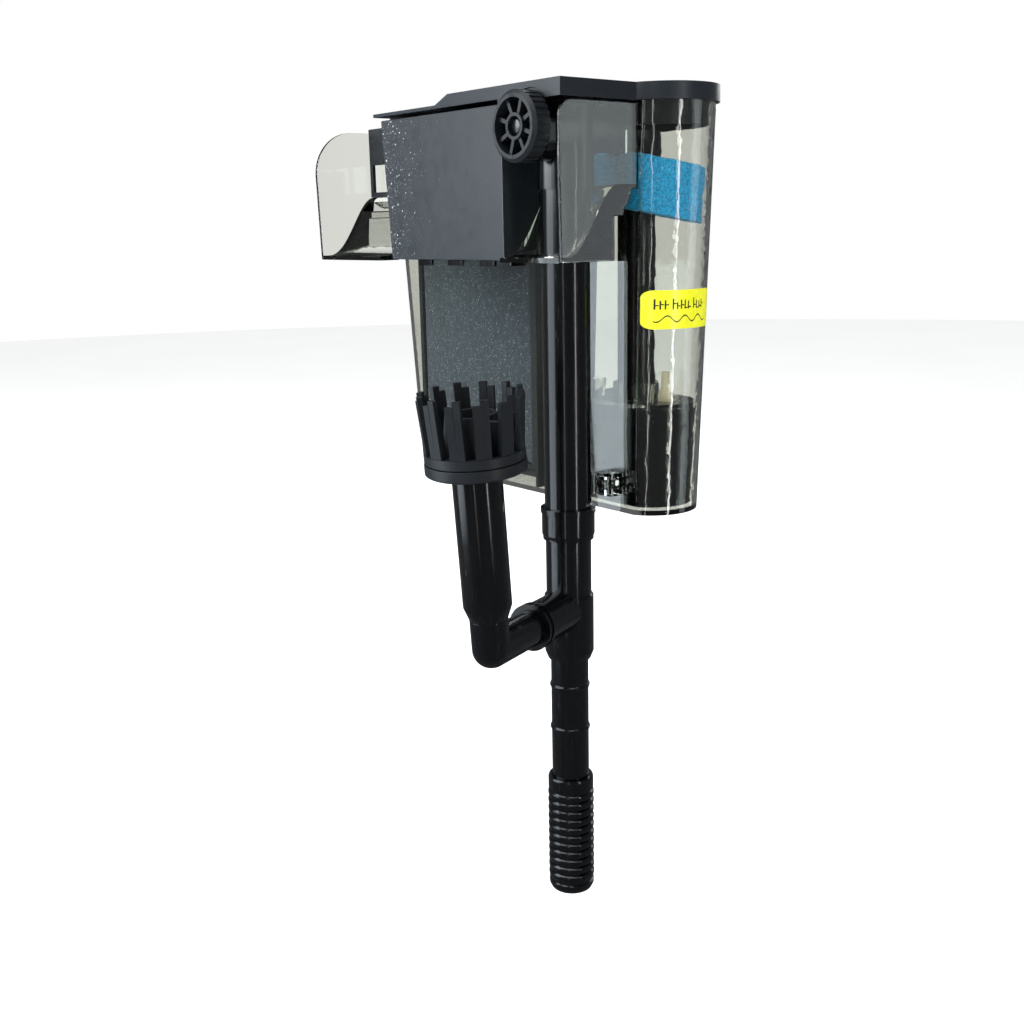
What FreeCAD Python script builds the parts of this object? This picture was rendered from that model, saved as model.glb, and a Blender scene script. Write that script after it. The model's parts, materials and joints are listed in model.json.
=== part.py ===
import FreeCAD, Part
import math
import os
import re
import Sketcher
from FreeCAD import Placement, Rotation, Vector

# Hang-on-back aquarium filter, millimetres.
# +X runs along the tank glass, +Y points away from the water, +Z is up.
# The origin is the middle of the seat that rests on the rim of the tank glass.

# ---------------------------------------------------------------- driving sizes
SIZES = {
    # saddle over the tank glass and the clear return chute
    "wing_span": 200.0,
    "seat_width": 5.5,
    "glass_gap": 14.5,
    "step_rise": 3.4,
    "chute_reach": 31.5,
    "chute_drop": 19.4,
    "crest_height": 13.6,
    "floor_thick": 2.2,
    "wing_height": 48.0,
    "wing_thick": 2.2,
    "wing_lean": 1.1,
    "left_wing_round": 23.0,
    "right_wing_round": 8.0,
    # weir frame
    "frame_thick": 2.0,
    "frame_height": 50.0,
    "frame_bar": 2.6,
    "window_height": 14.6,
    "window_width": 16.0,
    # clear reservoir
    "clear_wall": 2.2,
    "tub_height": 49.0,
    "tub_depth": 138.0,
    "tub_corner": 9.0,
    "lobe_radius_top": 25.8,
    "lobe_radius_bottom": 22.5,
    "lobe_share": 0.911,
    "partition_x": 25.5,
    "partition_thick": 2.0,
    # lid
    "lid_rise": 7.5,
    "lid_plate": 1.8,
    "lid_wall": 1.4,
    "lid_gap": 0.4,
    "flange_lift": 1.8,
    "flange_thick": 1.6,
    "flange_over": 3.0,
    "slope_start": 7.5,
    "slope_run": 13.8,
    "skirt_depth": 10.0,
    # outlet box
    "box_left_top": 39.6,
    "box_left_bottom": 34.1,
    "box_right": 57.0,
    "box_setback": 3.0,
    "box_deep": 21.7,
    "box_wall": 2.0,
    "box_height": 49.2,
    "box_drop": 18.8,
    "tab_wide": 11.0,
    "tab_drop": 2.6,
    # intake line
    "tube_y": -14.2,
    "tube_wall": 1.8,
    "main_radius": 11.0,
    "main_top": 24.0,
    "coupler_radius": 13.0,
    "coupler_top": 133.5,
    "coupler_length": 12.5,
    "mid_step": 0.2,
    "tee_top": 174.8,
    "tee_length": 32.2,
    "tee_radius": 11.8,
    "lower_radius": 9.1,
    "lower_wall": 1.4,
    "strainer_top": 268.5,
    "strainer_length": 62.0,
    "strainer_radius": 11.4,
    "strainer_pitch": 4.35,
    "slide_fit": 0.3,
    "shaft_fit": 0.06,
    # bridge, valve and knob
    "bridge_z": 37.8,
    "bridge_radius": 10.2,
    "bridge_bore": 8.0,
    "barrel_radius": 12.4,
    "plug_radius": 9.6,
    "port_radius": 6.2,
    "stem_radius": 3.2,
    "knob_radius": 15.0,
    "knob_depth": 9.0,
    "knob_gap": 0.6,
    "hub_radius": 5.6,
    "hub_bore": 4.2,
    "spoke_count": 8,
    "spoke_wide": 1.7,
    # surface skimmer
    "branch_z": 182.0,
    "branch_turn": 18.2,
    "branch_radius": 10.2,
    "branch_reach": 36.0,
    "arm_reach": 67.7,
    "arm_radius": 8.5,
    "arm_stub": 14.5,
    "riser_radius": 10.7,
    "riser_wall": 1.6,
    "riser_foot": 20.5,
    "riser_tilt": 4.5,
    "cup_base": 80.0,
    "cup_ring": 5.2,
    "cup_radius": 21.5,
    "crown_height": 34.0,
    "crown_band": 3.9,
    "crown_step": 2.2,
    "crown_flare": 1.75,
    "stave_count": 12,
    "stave_wide": 6.5,
    "stave_thick": 2.2,
    "swivel_lean": 0.6,
    "float_radius": 10.5,
    "float_height": 22.0,
    # pump
    "down_y": 31.0,
    "down_radius": 8.5,
    "down_wall": 1.5,
    "pump_height": 50.0,
    "pump_left": 44.0,
    "pump_gap": 1.2,
    "cover_thick": 2.4,
    "well_radius": 8.6,
    "well_depth": 36.0,
    "rotor_radius": 7.6,
    "rotor_length": 22.0,
    "vane_radius": 12.6,
    "vane_height": 7.0,
    "vane_count": 6,
    "shaft_radius": 1.5,
    "bush_radius": 4.0,
    "bush_length": 3.0,
    # filter media
    "media_gap": 1.5,
    "grid_lift": 7.0,
    "grid_thick": 3.0,
    "cartridge_thick": 7.0,
    "cartridge_left": 77.0,
    "sponge_thick": 24.0,
    "sponge_top": 14.6,
    "sponge_height": 25.0,
    "sponge_tilt": 12.0,
    "ring_radius": 6.0,
    "ring_bore": 3.2,
    "ring_length": 11.0,
    # levelling foot, label and cord gland
    "foot_wide": 9.0,
    "foot_rod": 2.5,
    "foot_plate": 3.2,
    "guide_length": 7.0,
    "label_thick": 0.35,
    "label_top": 33.0,
    "label_height": 17.5,
    "gland_radius": 5.0,
}

# Places worked out from the driving sizes.
PLACES = {
    "wing_out": "wing_span / 2",
    "wing_in": "wing_span / 2 - wing_thick",
    "apron_back": "0 - seat_width / 2",
    "wing_front": "0 - seat_width / 2 - chute_reach",
    "tub_front": "glass_gap - seat_width / 2",
    "tub_left_top": "wing_out - 1.5",
    "tub_left_bottom": "tub_left_top - 17.5",
    "lobe_x_top": "wing_out - 10.7",
    "lobe_x_bottom": "wing_out - 11.7",
    "tube_x": "wing_out - 20",
    "foot_x": "wing_out - 16",
    "gland_x": "wing_out - 40",
    "crest_front": "tub_front - 11.4",
    "box_front": "wing_front + box_setback",
    "box_back": "box_front + box_deep",
    "lid_top": "tub_height + lid_rise",
    "flange_base": "tub_height + flange_lift",
    "knob_back": "wing_front - knob_gap",
    "knob_front": "knob_back - knob_depth",
    "barrel_front": "wing_front + 1.0",
    "plug_front": "barrel_front + 2.4",
    "plug_back": "tube_y + plug_radius",
    "mid_radius": "main_radius - mid_step",
    "coupler_base": "0 - coupler_top - coupler_length",
    "tee_base": "0 - tee_top - tee_length",
    "tee_head": "0 - tee_top",
    "lower_base": "0 - strainer_top - 6",
    "strainer_head": "0 - strainer_top",
    "strainer_base": "0 - strainer_top - strainer_length",
    "branch_end": "tube_y - branch_reach",
    "arm_y": "tube_y - arm_reach",
    "cup_floor": "cup_base + 2.4",
    "crown_top": "cup_base + crown_height",
    "pump_head": "pump_height - tub_depth",
    "pump_floor": "clear_wall + pump_gap - tub_depth",
    "grid_base": "grid_lift - tub_depth",
    "grid_top": "grid_base + grid_thick",
    "media_front": "tub_front + clear_wall + media_gap",
    "media_right": "partition_x - partition_thick / 2 - media_gap",
    "label_base": "0 - label_top - label_height",
    "foot_level": "14 - tub_depth",
    "gland_level": "22 - tub_depth",
    "gland_share": "(tub_depth + gland_level) / (tub_height + tub_depth)",
    "gland_lobe": "lobe_radius_bottom + (lobe_radius_top - lobe_radius_bottom) * gland_share",
    "gland_wall": "tub_front + (1 + lobe_share) * gland_lobe + 0.3",
}

doc = FreeCAD.newDocument("hang_on_filter")
sheet = doc.addObject("Spreadsheet::Sheet", "sizes")
for row, (name, number) in enumerate(SIZES.items(), start=1):
    sheet.set("A%d" % row, name)
    sheet.set("B%d" % row, str(number))
    sheet.setAlias("B%d" % row, name)
doc.recompute()

PARTS = []


# ---------------------------------------------------------------- small helpers
def formula(text):
    """Write a size formula with its names turned into spreadsheet references."""
    def expand(found):
        word = found.group(0)
        if word in PLACES:
            return "(" + formula(PLACES[word]) + ")"
        if word in SIZES:
            return "sizes." + word
        return word
    return re.sub(r"[a-z_]+", expand, str(text))


def size(text):
    """The number that a size formula comes to."""
    return float(sheet.evalExpression(formula(text)))


def bind(item, prop, text):
    item.setExpression(prop, formula(text))


def place(item, x=0, y=0, z=0):
    for letter, text in zip("xyz", (x, y, z)):
        bind(item, "Placement.Base." + letter, text)


def node(item, label):
    """Keep an object as a sub-part of the filter under this label."""
    item.Label = label
    PARTS.append(item)
    return item


def new(kind, name):
    return doc.addObject(kind, name)


def box(name, xs, ys, zs):
    """A block between a low and a high formula on each axis."""
    item = new("Part::Box", name)
    for prop, (low, high) in zip(("Length", "Width", "Height"), (xs, ys, zs)):
        bind(item, prop, "(%s) - (%s)" % (high, low))
    place(item, xs[0], ys[0], zs[0])
    return item


def rod(name, radius, low, high, across, along="z"):
    """A cylinder from low to high along an axis; across gives the other two places."""
    item = new("Part::Cylinder", name)
    bind(item, "Radius", radius)
    bind(item, "Height", "(%s) - (%s)" % (high, low))
    if along == "z":
        place(item, across[0], across[1], low)
    elif along == "y":
        item.Placement.Rotation = Rotation(Vector(1, 0, 0), -90)
        place(item, across[0], low, across[1])
    else:
        item.Placement.Rotation = Rotation(Vector(0, 1, 0), 90)
        place(item, low, across[0], across[1])
    return item


def fuse(name, items, refine=True):
    item = new("Part::MultiFuse", name)
    item.Shapes = items
    item.Refine = refine
    return item


def cut(name, base, tools):
    item = new("Part::Cut", name)
    item.Base = base
    item.Tool = tools[0] if len(tools) == 1 else fuse(name + "_tools", tools, refine=False)
    item.Refine = True
    return item


def outline(body, plane, points):
    """A closed sketch of straight edges, each corner bound to its two formulas."""
    sketch = body.newObject("Sketcher::SketchObject", body.Name + "_sketch")
    origin = [f for f in body.Origin.OriginFeatures if f.Role == plane][0]
    sketch.AttachmentSupport = [(origin, "")]
    sketch.MapMode = "FlatFace"
    corners = [Vector(size(across), size(up), 0) for across, up in points]
    count = len(corners)
    for i in range(count):
        sketch.addGeometry(Part.LineSegment(corners[i], corners[(i + 1) % count]), False)
    for i in range(count):
        sketch.addConstraint(Sketcher.Constraint("Coincident", i, 2, (i + 1) % count, 1))
    for i, (across, up) in enumerate(points):
        for kind, text, number in (("DistanceX", across, corners[i].x), ("DistanceY", up, corners[i].y)):
            row = sketch.addConstraint(Sketcher.Constraint(kind, -1, 1, i, 1, number))
            sketch.setExpression("Constraints[%d]" % row, formula(text))
    return sketch


def turned(name, points, x=0, y=0, z=0):
    """A body turned about its own Z axis from (radius, height) corners."""
    body = new("PartDesign::Body", name)
    sketch = outline(body, "XZ_Plane", points)
    spin = body.newObject("PartDesign::Revolution", name + "_turn")
    spin.Profile = sketch
    spin.ReferenceAxis = (sketch, ["V_Axis"])
    spin.Angle = 360
    place(body, x, y, z)
    doc.recompute()
    return body


def slab(name, plane, points, low, high):
    """A body padded from a sketch on an origin plane, between two places along its normal."""
    body = new("PartDesign::Body", name)
    sketch = outline(body, plane, points)
    pad = body.newObject("PartDesign::Pad", name + "_pad")
    pad.Profile = sketch
    bind(pad, "Length", "(%s) - (%s)" % (high, low))
    pad.Reversed = plane == "XZ_Plane"
    if plane == "XY_Plane":
        place(body, 0, 0, low)
    elif plane == "XZ_Plane":
        place(body, 0, low, 0)
    else:
        place(body, low, 0, 0)
    doc.recompute()
    return body


def shaped(label, shape):
    """A sub-part whose shape comes straight from Part functions."""
    item = new("Part::Feature", label)
    item.Shape = shape
    return node(item, label)


def bezier(points):
    curve = Part.BezierCurve()
    curve.setPoles([Vector(*p) for p in points])
    return curve.toShape()


def lines(points):
    return [Part.makeLine(Vector(*a), Vector(*b)) for a, b in zip(points, points[1:])]


def prism(edges, direction):
    return Part.Face(Part.Wire(edges)).extrude(Vector(*direction))


# ---------------------------------------------------------------- clear reservoir
def tub_share(z):
    """0 at the floor of the reservoir, 1 at its rim."""
    return (z + size("tub_depth")) / (size("tub_height") + size("tub_depth"))


def tub_size(name, z):
    low = size(name + "_bottom")
    return low + (size(name + "_top") - low) * tub_share(z)


def tub_outline(z, inset):
    """The reservoir's outline at a height, moved inwards by inset."""
    left = -tub_size("tub_left", z) + inset
    front = size("tub_front")
    radius = tub_size("lobe_radius", z)
    centre = Vector(tub_size("lobe_x", z), front + size("lobe_share") * radius, z)
    front += inset
    radius -= inset
    reach = math.sqrt(radius ** 2 - (centre.y - front) ** 2)
    back = centre.y + radius
    corner = max(size("tub_corner") - inset, 1.0)
    bend = corner * (1 - math.sqrt(0.5))
    crease = Vector(centre.x + reach, front, z)
    side = centre + Vector(radius, 0, 0)
    top = centre + Vector(0, radius, 0)
    p = [Vector(left + corner, front, z), crease, top, Vector(left + corner, back, z),
         Vector(left, back - corner, z), Vector(left, front + corner, z)]
    back_mid = Vector(left + bend, back - bend, z)
    front_mid = Vector(left + bend, front + bend, z)
    return Part.Wire([
        Part.makeLine(p[0], p[1]),
        Part.Arc(p[1], side, p[2]).toShape(),
        Part.makeLine(p[2], p[3]),
        Part.Arc(p[3], back_mid, p[4]).toShape(),
        Part.makeLine(p[4], p[5]),
        Part.Arc(p[5], front_mid, p[0]).toShape(),
    ])


def tub_block(low, high, inset):
    """A solid that follows the drafted reservoir walls between two heights."""
    return Part.makeLoft([tub_outline(low, inset), tub_outline(high, inset)], True, True)


def block(xs, ys, zs):
    low = Vector(size(xs[0]), size(ys[0]), size(zs[0]))
    high = Vector(size(xs[1]), size(ys[1]), size(zs[1]))
    return Part.makeBox(high.x - low.x, high.y - low.y, high.z - low.z, low)


def pole(radius, low, high, across, along="z"):
    height = size(high) - size(low)
    if along == "z":
        return Part.makeCylinder(size(radius), height, Vector(size(across[0]), size(across[1]), size(low)))
    return Part.makeCylinder(size(radius), height, Vector(size(across[0]), size(low), size(across[1])),
                             Vector(0, 1, 0))


FLOOR = -size("tub_depth")
RIM = size("tub_height")
WALL = size("clear_wall")

tub = tub_block(FLOOR, RIM, 0).cut(tub_block(FLOOR + WALL, RIM, WALL).fuse(
    tub_block(RIM - 1, RIM, WALL).translate(Vector(0, 0, 1))))
weir_mouth = block(("0 - tub_left_bottom - 8", "media_right - 4"),
                   ("tub_front - 1", "tub_front + clear_wall + 1"),
                   ("crest_height", "frame_height - 6"))
bridge_mouth = block(("tube_x - bridge_radius - slide_fit", "tube_x + bridge_radius + slide_fit"),
                     ("tub_front - 1", "tub_front + clear_wall + 1"),
                     ("bridge_z - bridge_radius - slide_fit", "tub_height + 1"))
gland_hole = pole("gland_radius - 1.5", "tub_front + 30", "tub_front + 60", ("gland_x", "gland_level"), "y")
tub = tub.cut(weir_mouth).cut(bridge_mouth).cut(gland_hole)
shaped("reservoir_tub", tub)

# Wall between the filter chamber and the pump chamber.
inner = tub_block(FLOOR + WALL, RIM - 6, WALL + 0.05)
wall_slice = block(("partition_x - partition_thick / 2", "partition_x + partition_thick / 2"),
                   ("tub_front", "tub_front + 60"), ("clear_wall - tub_depth", "crest_height + 20"))
flow_port = block(("partition_x - 3", "partition_x + 3"), ("down_y - 10", "down_y + 10"),
                  ("clear_wall + 1 - tub_depth", "grid_base - 1"))
shaped("partition_plate", inner.common(wall_slice).cut(flow_port))

# ---------------------------------------------------------------- return chute
# The floor is one S-curve from the weir crest down to the front lip.
crest = size("crest_height")
crest_y = size("crest_front")
lip_z = size("floor_thick") - size("chute_drop")
lip_y = size("wing_front")
base_z = -size("chute_drop")
apron = size("apron_back")
step = size("step_rise")
wing_in = size("wing_in")
thick = size("floor_thick")
tub_face = size("tub_front")
curve_end = lip_y + 4

hook = [(apron, 0), (-apron, 0), (-apron, step), (-apron + 2.1, step + 0.8), (-apron + 4.3, crest - 3.7),
        (-apron + 4.9, crest - thick), (tub_face, crest - thick)]


def chute_section(x):
    """Floor, apron and glass seat, seen along the tank glass."""
    top = [(x, tub_face, crest), (x, crest_y, crest)]
    fall = bezier([(x, crest_y, crest), (x, crest_y - 10.5, crest),
                   (x, curve_end + 13, lip_z), (x, curve_end, lip_z)])
    rest = [(x, curve_end, lip_z), (x, lip_y, lip_z), (x, lip_y, base_z), (x, apron, base_z)]
    rest += [(x, y, z) for y, z in hook] + [(x, tub_face, crest)]
    return lines(top) + [fall] + lines(rest)


def chute_hollow(x):
    """The open space under the curved floor, in front of the apron."""
    back = apron - thick
    roof = bezier([(x, back, crest - 2.6), (x, back - 5.6, crest - 2.6),
                   (x, curve_end + 15.4, base_z), (x, curve_end + 6.2, base_z)])
    return [roof] + lines([(x, curve_end + 6.2, base_z), (x, back, base_z), (x, back, crest - 2.6)])


chute = prism(chute_section(-wing_in), (2 * wing_in, 0, 0))
chute = chute.cut(prism(chute_hollow(-wing_in + 3), (2 * wing_in - 6, 0, 0)))
chute = chute.cut(block(("0 - box_left_top - 0.8", "box_right + 0.8"), ("wing_front - 1", "box_back + 0.8"),
                        ("0 - chute_drop - 1", "crest_height + 1")))
chute = chute.cut(pole("main_radius + 1.5", "0 - chute_drop - 1", "crest_height + 1", ("tube_x", "tube_y")))
shaped("spout_chute", chute)


def wing(x, rounding):
    """A clear side wing: leaning front edge, rounded top corner, stepped edge at the glass."""
    top = size("wing_height")
    front = lip_y - size("wing_lean")
    bend = rounding * (1 - math.sqrt(0.5))
    edges = lines([(x, lip_y, base_z), (x, front, top - rounding)])
    edges.append(Part.Arc(Vector(x, front, top - rounding), Vector(x, front + bend, top - bend),
                          Vector(x, front + rounding, top)).toShape())
    back = [(x, y, z) for y, z in reversed(hook)]
    edges += lines([(x, front + rounding, top), (x, tub_face, top)] + back
                   + [(x, apron, base_z), (x, lip_y, base_z)])
    return prism(edges, (size("wing_thick"), 0, 0))


shaped("left_wing", wing(-size("wing_out"), size("left_wing_round")))
shaped("right_wing", wing(wing_in, size("right_wing_round")))

# Black frame that stands on the crest, with a row of overflow windows.
frame_block = box("frame_block", ("0.4 - wing_in", "box_right - 1"),
                  ("crest_front - frame_thick", "crest_front"), ("crest_height", "frame_height"))
window_count = int((size("wing_in") + size("box_right")) // (size("window_width") + size("frame_bar")))
windows = []
for i in range(window_count):
    start = "0.4 - wing_in + frame_bar + %d * (window_width + frame_bar)" % i
    windows.append(box("window_%d" % i, (start, start + " + window_width"),
                       ("crest_front - frame_thick - 1", "crest_front + 1"),
                       ("crest_height + frame_bar", "crest_height + frame_bar + window_height")))
node(cut("frame_cut", frame_block, windows), "weir_frame")

# ---------------------------------------------------------------- outlet box
box_outer = slab("box_outer", "XZ_Plane",
                 [("0 - box_left_top", "box_height"), ("0 - box_left_bottom", "0 - box_drop"),
                  ("box_right", "0 - box_drop"), ("box_right", "box_height")],
                 "box_front", "box_back")
box_inner = slab("box_inner", "XZ_Plane",
                 [("box_wall - box_left_top", "box_height + 1"),
                  ("box_wall - box_left_bottom", "box_wall + 1.4 - box_drop"),
                  ("box_right - box_wall", "box_wall + 1.4 - box_drop"), ("box_right - box_wall", "box_height + 1")],
                 "box_front + box_wall", "box_back - box_wall")
inlet = box("box_inlet", ("4 - box_left_bottom", "box_right - 6"), ("box_back - box_wall - 1", "box_back + 1"),
            ("crest_height + 2", "box_height - 6"))
drain = box("box_drain", ("6 - box_left_bottom", "box_right - 8"), ("box_front + 5", "box_back - 5"),
            ("0 - box_drop - 1", "box_wall + 2.4 - box_drop"))
node(cut("box_cut", box_outer, [box_inner, inlet, drain]), "outlet_box")

grille_plate = box("grille_plate", ("6.3 - box_left_bottom", "box_right - 8.3"),
                   ("box_front + 5.3", "box_back - 5.3"), ("0 - box_drop", "1.6 - box_drop"))
grille_slots = []
for i in range(6):
    start = "10 - box_left_bottom + %d * 12.2" % i
    grille_slots.append(box("grille_slot_%d" % i, (start, start + " + 8.6"),
                            ("box_front + 7.5", "box_back - 7.5"), ("0 - box_drop - 1", "3 - box_drop")))
node(cut("grille_cut", grille_plate, grille_slots), "outlet_grille")

tabs = []
for i in range(3):
    start = "22.2 - box_left_bottom + %d * 24.8" % i
    tabs.append(box("front_tab_%d" % i, (start, start + " + tab_wide"),
                    ("box_front + 0.6", "box_front + 2.4"), ("0 - box_drop - tab_drop", "0 - box_drop")))
tabs.append(box("side_tab", ("box_right - 2.4", "box_right - 0.6"), ("box_front + 4.5", "box_front + 14"),
                ("0 - box_drop - tab_drop", "0 - box_drop")))
tab_group = new("Part::Compound", "tab_group")
tab_group.Links = tabs
node(tab_group, "outlet_box_tabs")

# ---------------------------------------------------------------- lid
# A raised hood over the reservoir and the valve, with a thin flange over the outlet box.
lid_top = size("lid_top")
lid_edge = -(size("lid_wall") + size("lid_gap"))
flange_base = size("flange_base")
plate = size("lid_plate")
slope_low = size("slope_start")
slope_high = slope_low + size("slope_run")
hood_front = size("wing_front")
tub_hood = Part.makeLoft([tub_outline(RIM, lid_edge), tub_outline(RIM, lid_edge).translate(
    Vector(0, 0, lid_top - RIM))], True, True)
tub_hollow = Part.makeLoft([tub_outline(RIM, -size("lid_gap")), tub_outline(RIM, -size("lid_gap")).translate(
    Vector(0, 0, lid_top - RIM - plate))], True, True)
hood_right = size("wing_out")
front_hood = prism(lines([(slope_low, hood_front, flange_base), (slope_high, hood_front, lid_top),
                          (hood_right, hood_front, lid_top), (hood_right, hood_front, RIM),
                          (size("box_right") + 1.5, hood_front, RIM),
                          (size("box_right") + 1.5, hood_front, flange_base),
                          (slope_low, hood_front, flange_base)]), (0, tub_face + 12 - hood_front, 0))
wall = size("lid_wall")
front_hollow = prism(lines([(slope_low + 2.6, 0, flange_base - 3), (slope_low + 2.6, 0, flange_base),
                            (slope_high + 0.6, 0, lid_top - plate), (hood_right - wall, 0, lid_top - plate),
                            (hood_right - wall, 0, flange_base - 3), (slope_low + 2.6, 0, flange_base - 3)]),
                     (0, tub_face + 14 - hood_front, 0))
front_hollow.translate(Vector(0, hood_front + wall, 0))
flange = block(("0 - box_left_top - flange_over", "slope_start + 3"), ("wing_front + 0.6", "tub_front + 3"),
               ("flange_base", "flange_base + flange_thick"))
lid = tub_hood.fuse([front_hood, flange]).cut(tub_hollow).cut(front_hollow)
lid = lid.cut(pole("knob_radius + 1", "wing_front - 5", "wing_front + 1", ("tube_x", "bridge_z"), "y"))
shaped("lid", lid.removeSplitter())

# Black skirt that hangs inside the clear rim and centres the lid.
skirt_out = WALL + 0.5
skirt = tub_block(RIM - size("skirt_depth"), RIM, skirt_out)
skirt = skirt.cut(tub_block(RIM - size("skirt_depth") - 0.01, RIM + 0.01, skirt_out + 1.6))
skirt_riser = Part.makeLoft([tub_outline(RIM, skirt_out), tub_outline(RIM, skirt_out).translate(
    Vector(0, 0, lid_top - plate - RIM))], True, True)
skirt_riser = skirt_riser.cut(Part.makeLoft([tub_outline(RIM, skirt_out + 1.6), tub_outline(
    RIM, skirt_out + 1.6).translate(Vector(0, 0, lid_top - plate - RIM))], True, True))
skirt = skirt.fuse(skirt_riser)
skirt = skirt.cut(block(("tube_x - bridge_radius - 1.5", "tube_x + bridge_radius + 1.5"),
                        ("tub_front - 2", "tub_front + 8"), ("tub_height - skirt_depth - 1", "lid_top")))
shaped("lid_inner_skirt", skirt.removeSplitter())

# ---------------------------------------------------------------- intake line
main_tube = turned("main_tube_body", [
    ("main_radius - tube_wall", "0 - coupler_top - 6"), ("main_radius", "0 - coupler_top - 6"),
    ("main_radius", "main_top"), ("main_radius - tube_wall", "main_top")], "tube_x", "tube_y")
node(main_tube, "main_tube")

coupler = turned("coupler_body", [
    ("main_radius", "0 - coupler_top - 6"), ("main_radius", "1.2 - coupler_top"),
    ("coupler_radius", "1.2 - coupler_top"), ("coupler_radius", "0 - coupler_top - 1.2"),
    ("coupler_radius - 0.5", "0 - coupler_top - 1.2"), ("coupler_radius - 0.5", "coupler_base + 1"),
    ("coupler_radius - 1", "coupler_base"), ("coupler_radius - 1", "coupler_base - 1.5"),
    ("mid_radius", "coupler_base - 1.5"), ("mid_radius", "0 - coupler_top - 6")], "tube_x", "tube_y")
node(coupler, "tube_coupler")

mid_tube = turned("mid_tube_body", [
    ("mid_radius - tube_wall", "tee_head - 4"), ("mid_radius", "tee_head - 4"),
    ("mid_radius", "0 - coupler_top - 6"), ("mid_radius - tube_wall", "0 - coupler_top - 6")],
    "tube_x", "tube_y")
node(mid_tube, "mid_tube")

# Tee: sleeve on the tube line with a tapered lower mouth, and a branch with two rings at its end.
# The whole tee is turned about the tube line, so the branch points forward and outward.
TURN = Placement(Vector(), Rotation(Vector(0, 0, 1), size("branch_turn")),
                 Vector(size("tube_x"), size("tube_y"), 0))
branch_level = ("tube_x", "0 - branch_z")
tee_sleeve = turned("tee_sleeve", [
    ("0", "tee_base"), ("lower_radius + 1.2", "tee_base"), ("tee_radius", "tee_base + 3.8"),
    ("tee_radius", "tee_head - 0.6"), ("tee_radius - 0.5", "tee_head"), ("0", "tee_head")], "tube_x", "tube_y")
branch = rod("tee_branch", "branch_radius", "branch_end", "tube_y", branch_level, "y")
branch_rings = [
    rod("branch_ring_outer", "branch_radius + 0.8", "branch_end", "branch_end + 1.6", branch_level, "y"),
    rod("branch_ring_inner", "branch_radius + 0.8", "branch_end + 3.4", "branch_end + 5", branch_level, "y"),
]
tee_outer = fuse("tee_outer", [tee_sleeve, branch] + branch_rings)
tee = cut("tee_cut", tee_outer, [
    rod("tee_bore_top", "mid_radius", "tee_head - 4", "tee_head + 6", ("tube_x", "tube_y")),
    rod("tee_bore", "lower_radius + slide_fit", "tee_base - 1", "tee_head", ("tube_x", "tube_y")),
    rod("branch_bore", "arm_radius - 1.2 + shaft_fit", "branch_end - 1", "tube_y - tee_radius + 3",
        branch_level, "y"),
])
tee.Placement = TURN
node(tee, "skimmer_tee")

# Extension tube with two grip rings; it slides up into the tee.
ring_one = "tee_base - 14"
ring_two = "tee_base - 35.8"
lower = [("lower_radius - lower_wall", "lower_base"), ("lower_radius", "lower_base")]
for ring in (ring_two, ring_one):
    lower += [("lower_radius", ring + " - 1"), ("lower_radius + 0.6", ring + " - 0.6"),
              ("lower_radius + 0.6", ring + " + 0.6"), ("lower_radius", ring + " + 1")]
lower += [("lower_radius", "tee_base + 10"), ("lower_radius - lower_wall", "tee_base + 10")]
node(turned("lower_tube_body", lower, "tube_x", "tube_y"), "lower_tube")


RIB_COUNT = 11
RIB_START = 7.6


def rib_top(i):
    """Height of the upper edge of a rib."""
    return "strainer_head - %.1f - %d * strainer_pitch" % (RIB_START, i)


def strainer_profile():
    """Closed tube with a grip collar and a row of round ribs, down to a plain rounded foot."""
    points = [("strainer_radius - 1.6", "strainer_head"), ("strainer_radius - 0.6", "strainer_head"),
              ("strainer_radius - 0.2", "strainer_head - 1.2"), ("strainer_radius - 0.2", "strainer_head - 6.4"),
              ("strainer_radius - 0.9", "strainer_head - 6.8")]
    for i in range(RIB_COUNT):
        top = rib_top(i)
        points += [("strainer_radius - 0.9", top), ("strainer_radius - 0.2", top + " - 0.5"),
                   ("strainer_radius", top + " - 1.3"), ("strainer_radius", top + " - 2.3"),
                   ("strainer_radius - 0.2", top + " - 3.1"), ("strainer_radius - 0.9", top + " - 3.6")]
    points += [("strainer_radius - 0.9", "strainer_base + 5.8"), ("strainer_radius - 0.2", "strainer_base + 5.4"),
               ("strainer_radius - 0.2", "strainer_base + 3.4"), ("strainer_radius - 1.2", "strainer_base + 1.3"),
               ("strainer_radius - 3.4", "strainer_base"), ("0", "strainer_base"), ("0", "strainer_base + 1.6"),
               ("strainer_radius - 2.6", "strainer_base + 3.2"),
               ("strainer_radius - 2.6", "strainer_head - 7"),
               ("lower_radius + slide_fit", "strainer_head - 6.4"),
               ("lower_radius + slide_fit", "strainer_head")]
    return points


strainer_body = turned("strainer_body", strainer_profile(), "tube_x", "tube_y")
slot_half = "(strainer_radius + 1)"
strainer_slots = []
for i in range(1, RIB_COUNT):
    level = (rib_top(i) + " + 0.02", rib_top(i) + " + 0.72")
    strainer_slots.append(box("strainer_slot_side_%d" % i, ("tube_x - " + slot_half, "tube_x + " + slot_half),
                              ("tube_y - 4", "tube_y + 4"), level))
    strainer_slots.append(box("strainer_slot_front_%d" % i, ("tube_x - 4", "tube_x + 4"),
                              ("tube_y - " + slot_half, "tube_y + " + slot_half), level))
node(cut("strainer_cut", strainer_body, strainer_slots), "strainer")

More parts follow.
